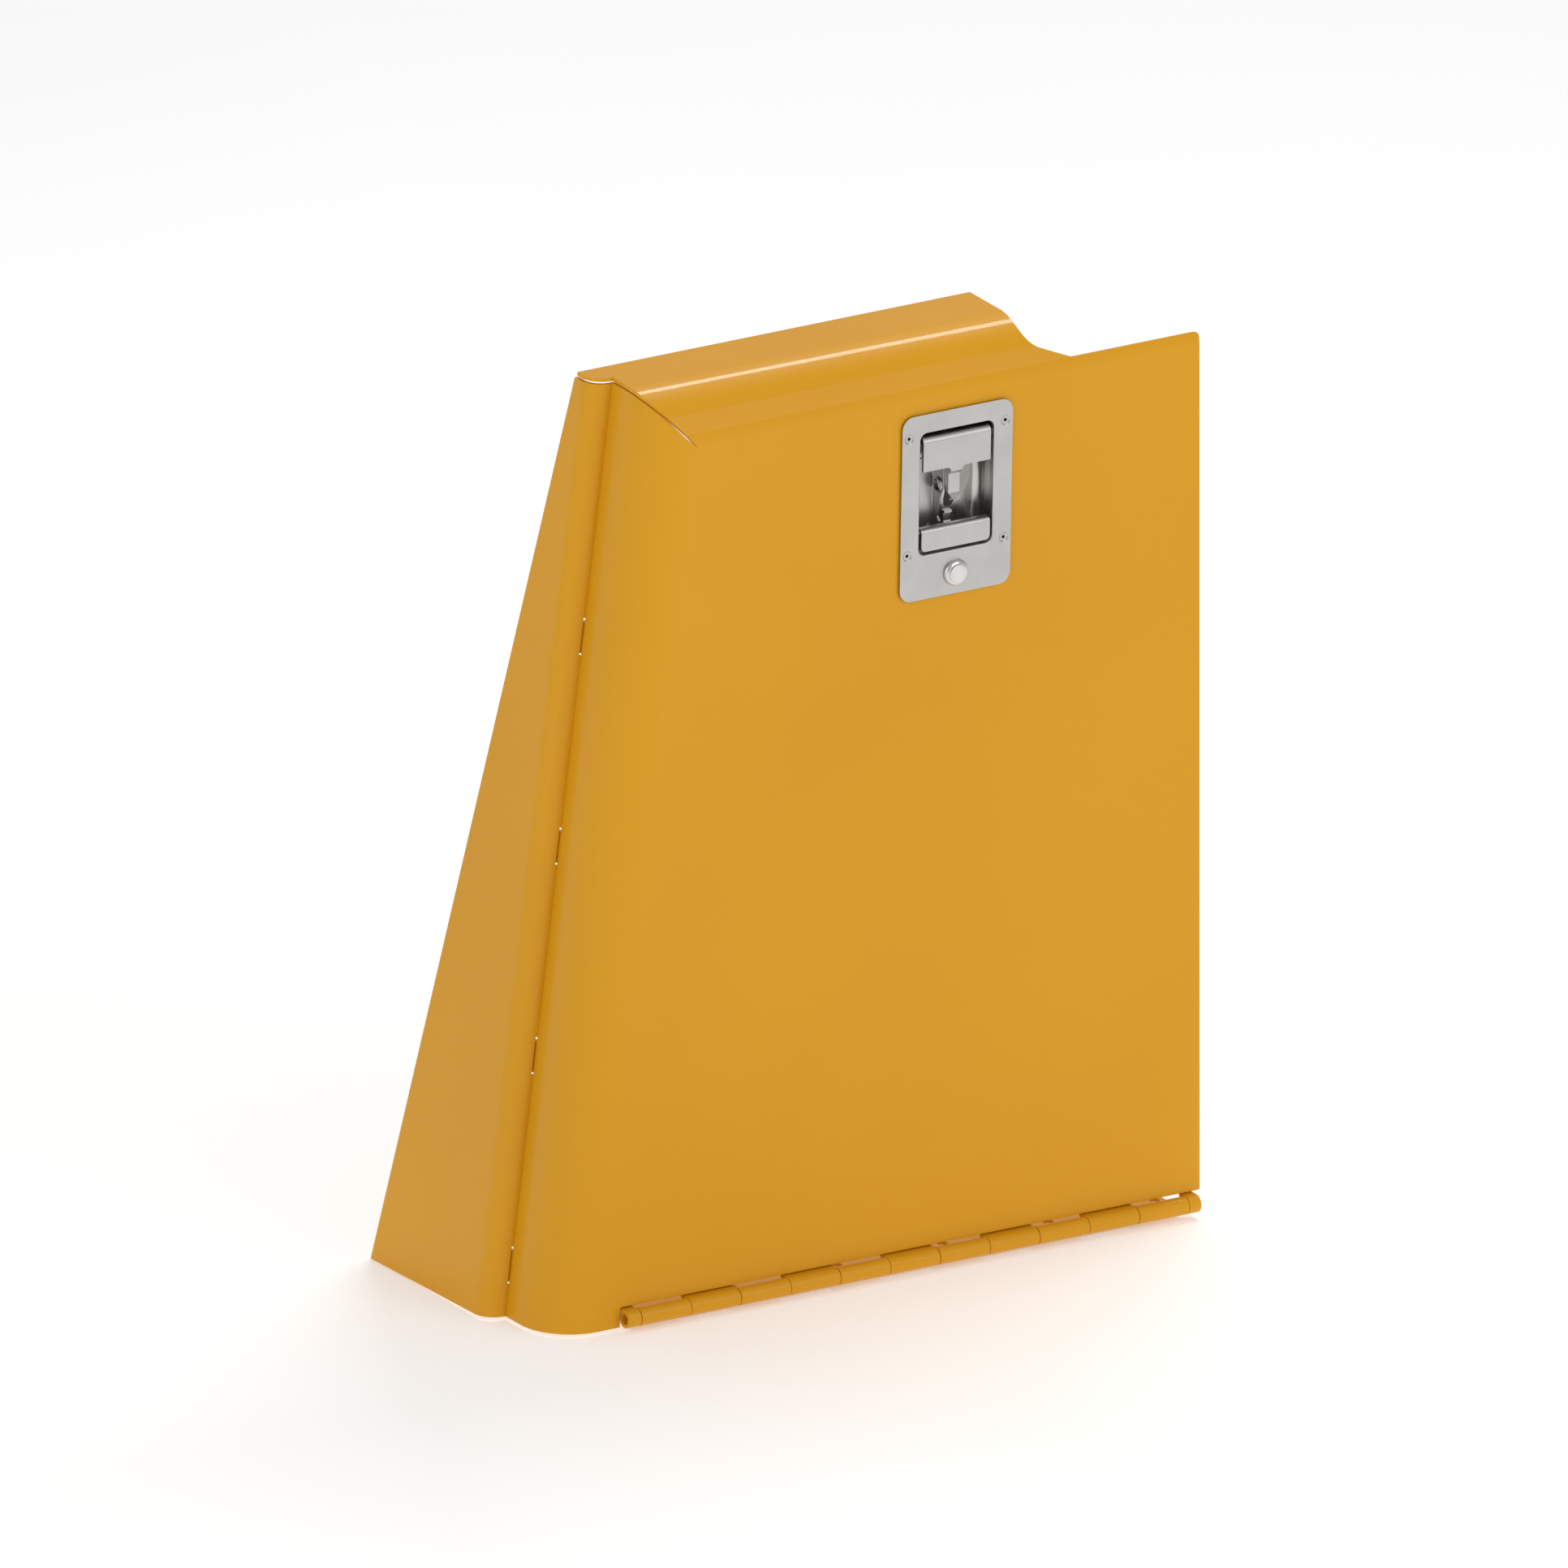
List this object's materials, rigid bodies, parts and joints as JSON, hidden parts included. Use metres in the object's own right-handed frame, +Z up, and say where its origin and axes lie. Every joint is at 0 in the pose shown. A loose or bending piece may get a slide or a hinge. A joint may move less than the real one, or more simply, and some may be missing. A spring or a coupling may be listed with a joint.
{
  "type": "bottom-hinged access door",
  "caption": "Painted sheet-metal access door with a rounded hood, rounded leaning corner and wedge side, a bottom piano hinge and a flush lever latch with lock.",
  "frame": {"origin": "middle of the bolt line of the hinge's lower leaf, on its underside, which lies on the sill", "axes": "+X to the right along the hinge as seen from outside, +Y into the compartment, +Z up"},
  "size_m": [0.598, 0.2384, 0.7467],
  "materials": {
    "yellow_paint": "glossy",
    "satin_stainless": "satin",
    "zinc_plate": "satin",
    "dark_rubber": "matte",
    "chrome_plate": "polished"
  },
  "bodies": {
    "sill_hinge": {"hinge_frame_leaf": "yellow_paint", "hinge_pin": "zinc_plate"},
    "door": {"door_panel": "yellow_paint", "side_panel": "yellow_paint", "hinge_door_leaf": "yellow_paint", "hinge_welds": "yellow_paint", "seam_welds": "yellow_paint", "latch_gasket": "dark_rubber", "latch_face_plate": "satin_stainless", "latch_pan": "satin_stainless", "latch_rivets": "satin_stainless", "padlock_bracket": "satin_stainless", "padlock_eyelet": "satin_stainless", "trigger_pin": "zinc_plate", "trigger_pin_clips": "zinc_plate", "lock_housing": "chrome_plate", "lock_nut": "zinc_plate"},
    "lever": {"lever_handle": "satin_stainless", "lever_shaft": "zinc_plate", "pawls": "zinc_plate", "pawl_screws": "zinc_plate"},
    "trigger": {"trigger": "satin_stainless", "trigger_spring": "zinc_plate"},
    "lock_core": {"lock_plug": "chrome_plate", "lock_shutter": "chrome_plate", "lock_cam": "zinc_plate", "lock_cam_screw": "zinc_plate"}
  },
  "joints": [
    {"name": "door_hinge", "type": "hinge", "parent": "sill_hinge", "child": "door", "pos_m": [0, -0.03, 0.007], "axis": [1, 0, 0], "range_deg": [0, 90]},
    {"name": "lever_pivot", "type": "hinge", "parent": "door", "child": "lever", "pos_m": [0.02985, -0.0176, 0.6621], "axis": [-1, 0, 0], "range_deg": [0, 70]},
    {"name": "trigger_pivot", "type": "hinge", "parent": "door", "child": "trigger", "pos_m": [0.02985, -0.0176, 0.5821], "axis": [-1, 0, 0], "range_deg": [0, 12], "stiffness_Nm_per_rad": 0.08, "springref_deg": -17.19},
    {"name": "lock_turn", "type": "hinge", "parent": "door", "child": "lock_core", "pos_m": [0.02985, -0.0256, 0.5576], "axis": [0, -1, 0], "range_deg": [0, 90]}
  ]
}
